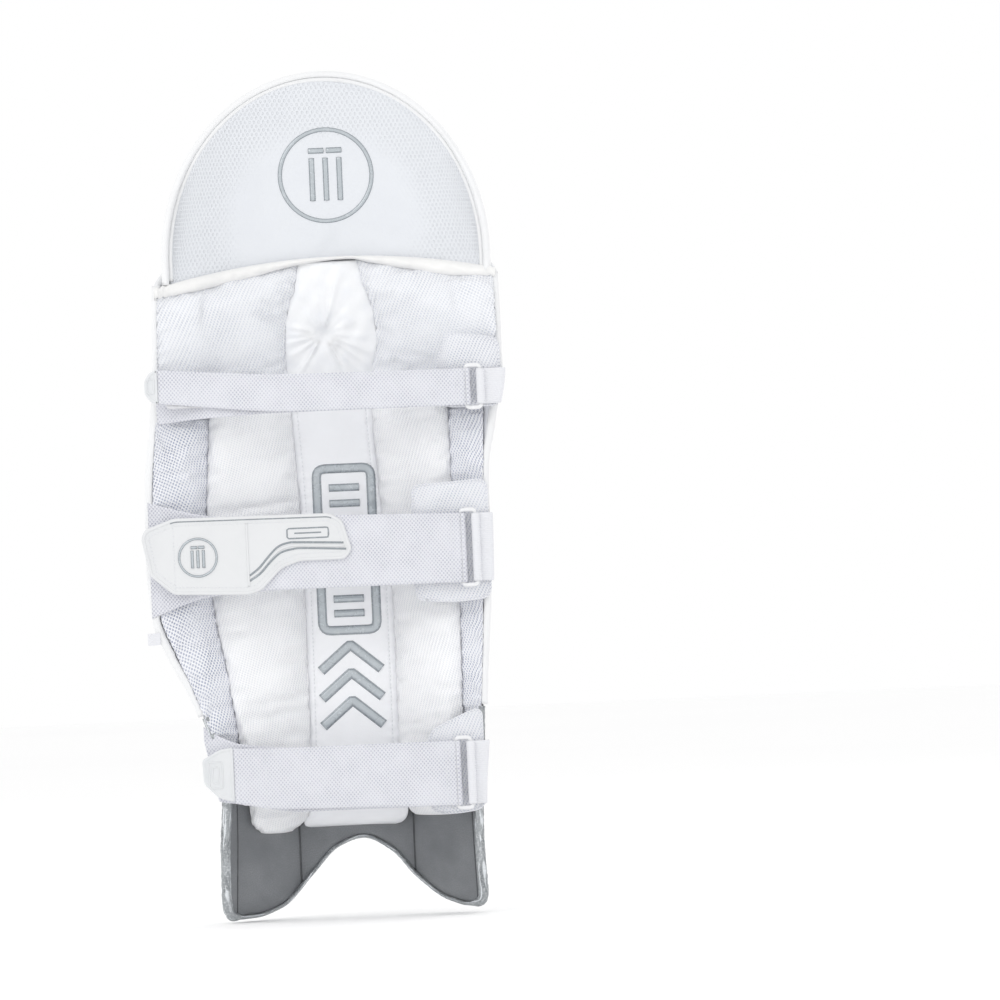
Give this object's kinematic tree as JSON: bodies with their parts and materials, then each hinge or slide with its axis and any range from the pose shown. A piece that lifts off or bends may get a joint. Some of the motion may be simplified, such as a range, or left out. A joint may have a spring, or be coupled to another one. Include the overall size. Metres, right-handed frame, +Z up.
{
  "type": "cricket leg pad",
  "caption": "Strap-on leg guard with vertical shin rolls, cross knee rolls, a rounded top flap, padded leg side and three buckled straps.",
  "frame": {"origin": "on the axis of the leg, level with the lowest edge of the pad", "axes": "+Z up the leg, +Y forward, away from the leg, +X to the wearer's right"},
  "size_m": [0.3089, 0.12, 0.6995],
  "materials": {
    "board_foam": "closed-cell foam, matt",
    "face_white": "smooth coated cloth, satin",
    "cane": "bare cane",
    "silver_binding": "crinkled silver coating",
    "white_binding": "smooth coated tape, satin",
    "boot_grey": "woven, quilted",
    "lining_white": "plain lining cloth",
    "liner_white": "coated cloth with fine dimples",
    "mesh_white": "spacer mesh",
    "mesh_open": "open-hole spacer mesh",
    "satin_white": "satin, soft sheen",
    "label": "blank woven label",
    "strap_weave": "diamond-knit strap",
    "hook_tape": "hook-and-loop tape",
    "buckle_plastic": "moulded",
    "webbing": "ribbed tape",
    "tab_rubber": "soft translucent rubber",
    "patch_white": "moulded soft plastic with silver lines"
  },
  "bodies": {
    "pad": {"ankle_cushion": "mesh_open", "ankle_keeper": "webbing", "ankle_strap_base": "strap_weave", "bolster_band": "satin_white", "boot_lining": "boot_grey", "calf_cushion": "mesh_open", "calf_keeper": "webbing", "calf_strap_base": "strap_weave", "cane_rods": "cane", "centre_strip": "satin_white", "edge_binding": "white_binding", "foot_binding": "silver_binding", "inner_knee_bolster": "mesh_white", "inner_shin_bolster": "mesh_white", "inner_wing_facing": "face_white", "inner_wing_pad": "mesh_open", "knee_board": "board_foam", "knee_cup": "satin_white", "knee_cushion": "mesh_open", "knee_keeper": "webbing", "knee_lining": "lining_white", "knee_roll_lower": "face_white", "knee_roll_middle": "face_white", "knee_roll_upper": "face_white", "knee_strap_base": "strap_weave", "outer_knee_bolster": "mesh_white", "outer_shin_bolster": "mesh_white", "outer_wing_facing": "face_white", "outer_wing_pad": "mesh_open", "shin_board": "board_foam", "shin_lining": "lining_white", "shin_roll_1": "face_white", "shin_roll_2": "face_white", "shin_roll_3": "face_white", "shin_roll_4": "face_white", "shin_roll_5": "face_white", "shin_roll_6": "face_white", "shin_roll_7": "face_white", "side_label": "label", "top_hat_board": "board_foam", "top_hat_liner": "liner_white", "top_hat_rolls": "face_white", "top_hat_welt": "white_binding"},
    "knee_buckle": {"knee_buckle": "buckle_plastic", "knee_strap_fold": "strap_weave"},
    "knee_strap_end": {"knee_strap_end": "strap_weave", "knee_hook_patch": "hook_tape", "knee_tab": "tab_rubber"},
    "calf_buckle": {"calf_buckle": "buckle_plastic", "calf_strap_fold": "strap_weave"},
    "calf_strap_end": {"calf_strap_end": "strap_weave", "calf_hook_patch": "hook_tape", "calf_tab": "patch_white"},
    "ankle_buckle": {"ankle_buckle": "buckle_plastic", "ankle_strap_fold": "strap_weave"},
    "ankle_strap_end": {"ankle_strap_end": "strap_weave", "ankle_hook_patch": "hook_tape", "ankle_tab": "tab_rubber"}
  },
  "joints": [
    {"name": "knee_buckle_swing", "type": "hinge", "parent": "pad", "child": "knee_buckle", "pos_m": [0.121, -0.0238, 0.4325], "axis": [0, 0, 1], "range_deg": [0, 30]},
    {"name": "knee_strap_peel", "type": "hinge", "parent": "knee_buckle", "child": "knee_strap_end", "pos_m": [0.109, -0.0238, 0.4325], "axis": [0, 0, 1], "range_deg": [0, 130], "deforming": ["knee_strap_fold"]},
    {"name": "calf_buckle_swing", "type": "hinge", "parent": "pad", "child": "calf_buckle", "pos_m": [0.112, -0.0238, 0.3005], "axis": [0, 0, 1], "range_deg": [0, 30]},
    {"name": "calf_strap_peel", "type": "hinge", "parent": "calf_buckle", "child": "calf_strap_end", "pos_m": [0.1, -0.0238, 0.3005], "axis": [0, 0, 1], "range_deg": [0, 130], "deforming": ["calf_strap_fold"]},
    {"name": "ankle_buckle_swing", "type": "hinge", "parent": "pad", "child": "ankle_buckle", "pos_m": [0.1, -0.0238, 0.1155], "axis": [0, 0, 1], "range_deg": [0, 30]},
    {"name": "ankle_strap_peel", "type": "hinge", "parent": "ankle_buckle", "child": "ankle_strap_end", "pos_m": [0.088, -0.0238, 0.1155], "axis": [0, 0, 1], "range_deg": [0, 130], "deforming": ["ankle_strap_fold"]}
  ]
}
